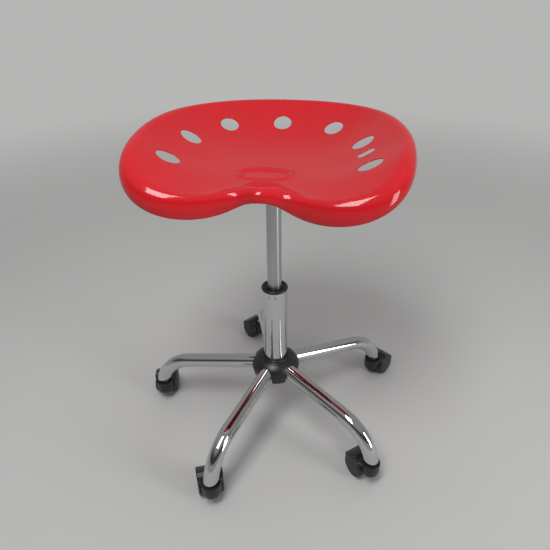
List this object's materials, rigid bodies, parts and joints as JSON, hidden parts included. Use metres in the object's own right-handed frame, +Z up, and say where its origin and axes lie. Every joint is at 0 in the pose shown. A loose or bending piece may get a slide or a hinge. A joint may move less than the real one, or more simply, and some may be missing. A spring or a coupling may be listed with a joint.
{
  "type": "swivel stool",
  "caption": "Height-adjustable swivel stool with a moulded bucket seat pierced by oval holes, a gas lift and a bent-tube chromed base on twin-wheel casters.",
  "frame": {"origin": "at floor level, in the middle of the stool's extent; the lift's axis stands at x 12.42 mm, y -22.77 mm", "axes": "+Z up along the lift; the seat faces -Y, with its raised back towards +Y and its release lever towards +X"},
  "size_m": [0.5706, 0.5716, 0.6383],
  "materials": {
    "seat_red": "high gloss moulded plastic",
    "chrome": "bright chrome plate",
    "satin_steel": "ground and plated tube, fine lengthwise sheen",
    "black_steel": "black powder coat",
    "zinc_steel": "bright zinc plate",
    "black_plastic": "black moulded nylon",
    "satin_plastic": "dark grey satin polypropylene",
    "rubber": "matt black"
  },
  "bodies": {
    "base": {"outer_column": "chrome", "column_bush": "satin_plastic", "thrust_bearing": "zinc_steel", "hub_sleeve": "black_steel", "hub_cover": "satin_plastic", "leg_1": "chrome", "caster_socket_1": "zinc_steel", "caster_stem_1": "zinc_steel", "leg_2": "chrome", "caster_socket_2": "zinc_steel", "caster_stem_2": "zinc_steel", "leg_3": "chrome", "caster_socket_3": "zinc_steel", "caster_stem_3": "zinc_steel", "leg_4": "chrome", "caster_socket_4": "zinc_steel", "caster_stem_4": "zinc_steel", "leg_5": "chrome", "caster_socket_5": "zinc_steel", "caster_stem_5": "zinc_steel"},
    "lift_rod": {"piston_rod": "satin_steel", "piston": "black_plastic", "rubber_bumper": "rubber", "retaining_clip": "zinc_steel"},
    "seat": {"gas_cylinder": "satin_steel", "lift_tray": "black_steel", "lever_pin": "zinc_steel", "seat_plate": "black_steel", "seat_bolt_1": "zinc_steel", "seat_bolt_2": "zinc_steel", "seat_bolt_3": "zinc_steel", "seat_bolt_4": "zinc_steel", "seat_shell": "seat_red"},
    "lever": {"release_lever": "black_steel", "lever_grip": "black_plastic"},
    "button": {"release_button": "zinc_steel"},
    "caster_1": {"caster_hood_1": "satin_plastic", "caster_axle_1": "zinc_steel"},
    "wheel_1_left": {"caster_wheel_1_left": "black_plastic"},
    "wheel_1_right": {"caster_wheel_1_right": "black_plastic"},
    "caster_2": {"caster_hood_2": "satin_plastic", "caster_axle_2": "zinc_steel"},
    "wheel_2_left": {"caster_wheel_2_left": "black_plastic"},
    "wheel_2_right": {"caster_wheel_2_right": "black_plastic"},
    "caster_3": {"caster_hood_3": "satin_plastic", "caster_axle_3": "zinc_steel"},
    "wheel_3_left": {"caster_wheel_3_left": "black_plastic"},
    "wheel_3_right": {"caster_wheel_3_right": "black_plastic"},
    "caster_4": {"caster_hood_4": "satin_plastic", "caster_axle_4": "zinc_steel"},
    "wheel_4_left": {"caster_wheel_4_left": "black_plastic"},
    "wheel_4_right": {"caster_wheel_4_right": "black_plastic"},
    "caster_5": {"caster_hood_5": "satin_plastic", "caster_axle_5": "zinc_steel"},
    "wheel_5_left": {"caster_wheel_5_left": "black_plastic"},
    "wheel_5_right": {"caster_wheel_5_right": "black_plastic"}
  },
  "joints": [
    {"name": "seat_swivel", "type": "hinge", "parent": "base", "child": "lift_rod", "pos_m": [0.01242, -0.02277, 0.106], "axis": [0, 0, 1], "continuous": true},
    {"name": "seat_height", "type": "slide", "parent": "lift_rod", "child": "seat", "axis": [0, 0, 1], "range_m": [-0.13, 0]},
    {"name": "lever_pull", "type": "hinge", "parent": "seat", "child": "lever", "pos_m": [0.04242, -0.02277, 0.547], "axis": [0, -1, 0], "range_deg": [0, 6], "stiffness_Nm_per_rad": 6, "springref_deg": -1.72},
    {"name": "button_press", "type": "slide", "parent": "seat", "child": "button", "axis": [0, 0, -1], "range_m": [0, 0.0037], "stiffness_N_per_m": 300, "springref_m": -0.001},
    {"name": "caster_swivel_1", "type": "hinge", "parent": "base", "child": "caster_1", "pos_m": [0.23314, 0.12388, 0.05], "axis": [0, 0, 1], "continuous": true},
    {"name": "wheel_spin_1_left", "type": "hinge", "parent": "caster_1", "child": "wheel_1_left", "pos_m": [0.24866, 0.14411, 0.02413], "axis": [-0.7934, 0.6088, 0], "continuous": true},
    {"name": "wheel_spin_1_right", "type": "hinge", "parent": "caster_1", "child": "wheel_1_right", "pos_m": [0.24866, 0.14411, 0.02413], "axis": [-0.7934, 0.6088, 0], "continuous": true},
    {"name": "caster_swivel_2", "type": "hinge", "parent": "base", "child": "caster_2", "pos_m": [-0.05885, 0.23247, 0.05], "axis": [0, 0, 1], "continuous": true},
    {"name": "wheel_spin_2_left", "type": "hinge", "parent": "caster_2", "child": "wheel_2_left", "pos_m": [-0.07838, 0.24886, 0.02413], "axis": [-0.6428, -0.766, 0], "continuous": true},
    {"name": "wheel_spin_2_right", "type": "hinge", "parent": "caster_2", "child": "wheel_2_right", "pos_m": [-0.07838, 0.24886, 0.02413], "axis": [-0.6428, -0.766, 0], "continuous": true},
    {"name": "caster_swivel_3", "type": "hinge", "parent": "base", "child": "caster_3", "pos_m": [-0.25235, -0.01167, 0.05], "axis": [0, 0, 1], "continuous": true},
    {"name": "wheel_spin_3_left", "type": "hinge", "parent": "caster_3", "child": "wheel_3_left", "pos_m": [-0.25612, 0.01355, 0.02413], "axis": [-0.989, -0.1478, 0], "continuous": true},
    {"name": "wheel_spin_3_right", "type": "hinge", "parent": "caster_3", "child": "wheel_3_right", "pos_m": [-0.25612, 0.01355, 0.02413], "axis": [-0.989, -0.1478, 0], "continuous": true},
    {"name": "caster_swivel_4", "type": "hinge", "parent": "base", "child": "caster_4", "pos_m": [-0.07996, -0.27115, 0.05], "axis": [0, 0, 1], "continuous": true},
    {"name": "wheel_spin_4_left", "type": "hinge", "parent": "caster_4", "child": "wheel_4_left", "pos_m": [-0.08909, -0.24734, 0.02413], "axis": [-0.9336, -0.3584, 0], "continuous": true},
    {"name": "wheel_spin_4_right", "type": "hinge", "parent": "caster_4", "child": "wheel_4_right", "pos_m": [-0.08909, -0.24734, 0.02413], "axis": [-0.9336, -0.3584, 0], "continuous": true},
    {"name": "caster_swivel_5", "type": "hinge", "parent": "base", "child": "caster_5", "pos_m": [0.2201, -0.18737, 0.05], "axis": [0, 0, 1], "continuous": true},
    {"name": "wheel_spin_5_left", "type": "hinge", "parent": "caster_5", "child": "wheel_5_left", "pos_m": [0.20439, -0.16728, 0.02413], "axis": [-0.788, -0.6157, 0], "continuous": true},
    {"name": "wheel_spin_5_right", "type": "hinge", "parent": "caster_5", "child": "wheel_5_right", "pos_m": [0.20439, -0.16728, 0.02413], "axis": [-0.788, -0.6157, 0], "continuous": true}
  ],
  "couplings": [
    {"joint": "button_press", "follows": "lever_pull", "m_per_rad": 0.034}
  ]
}
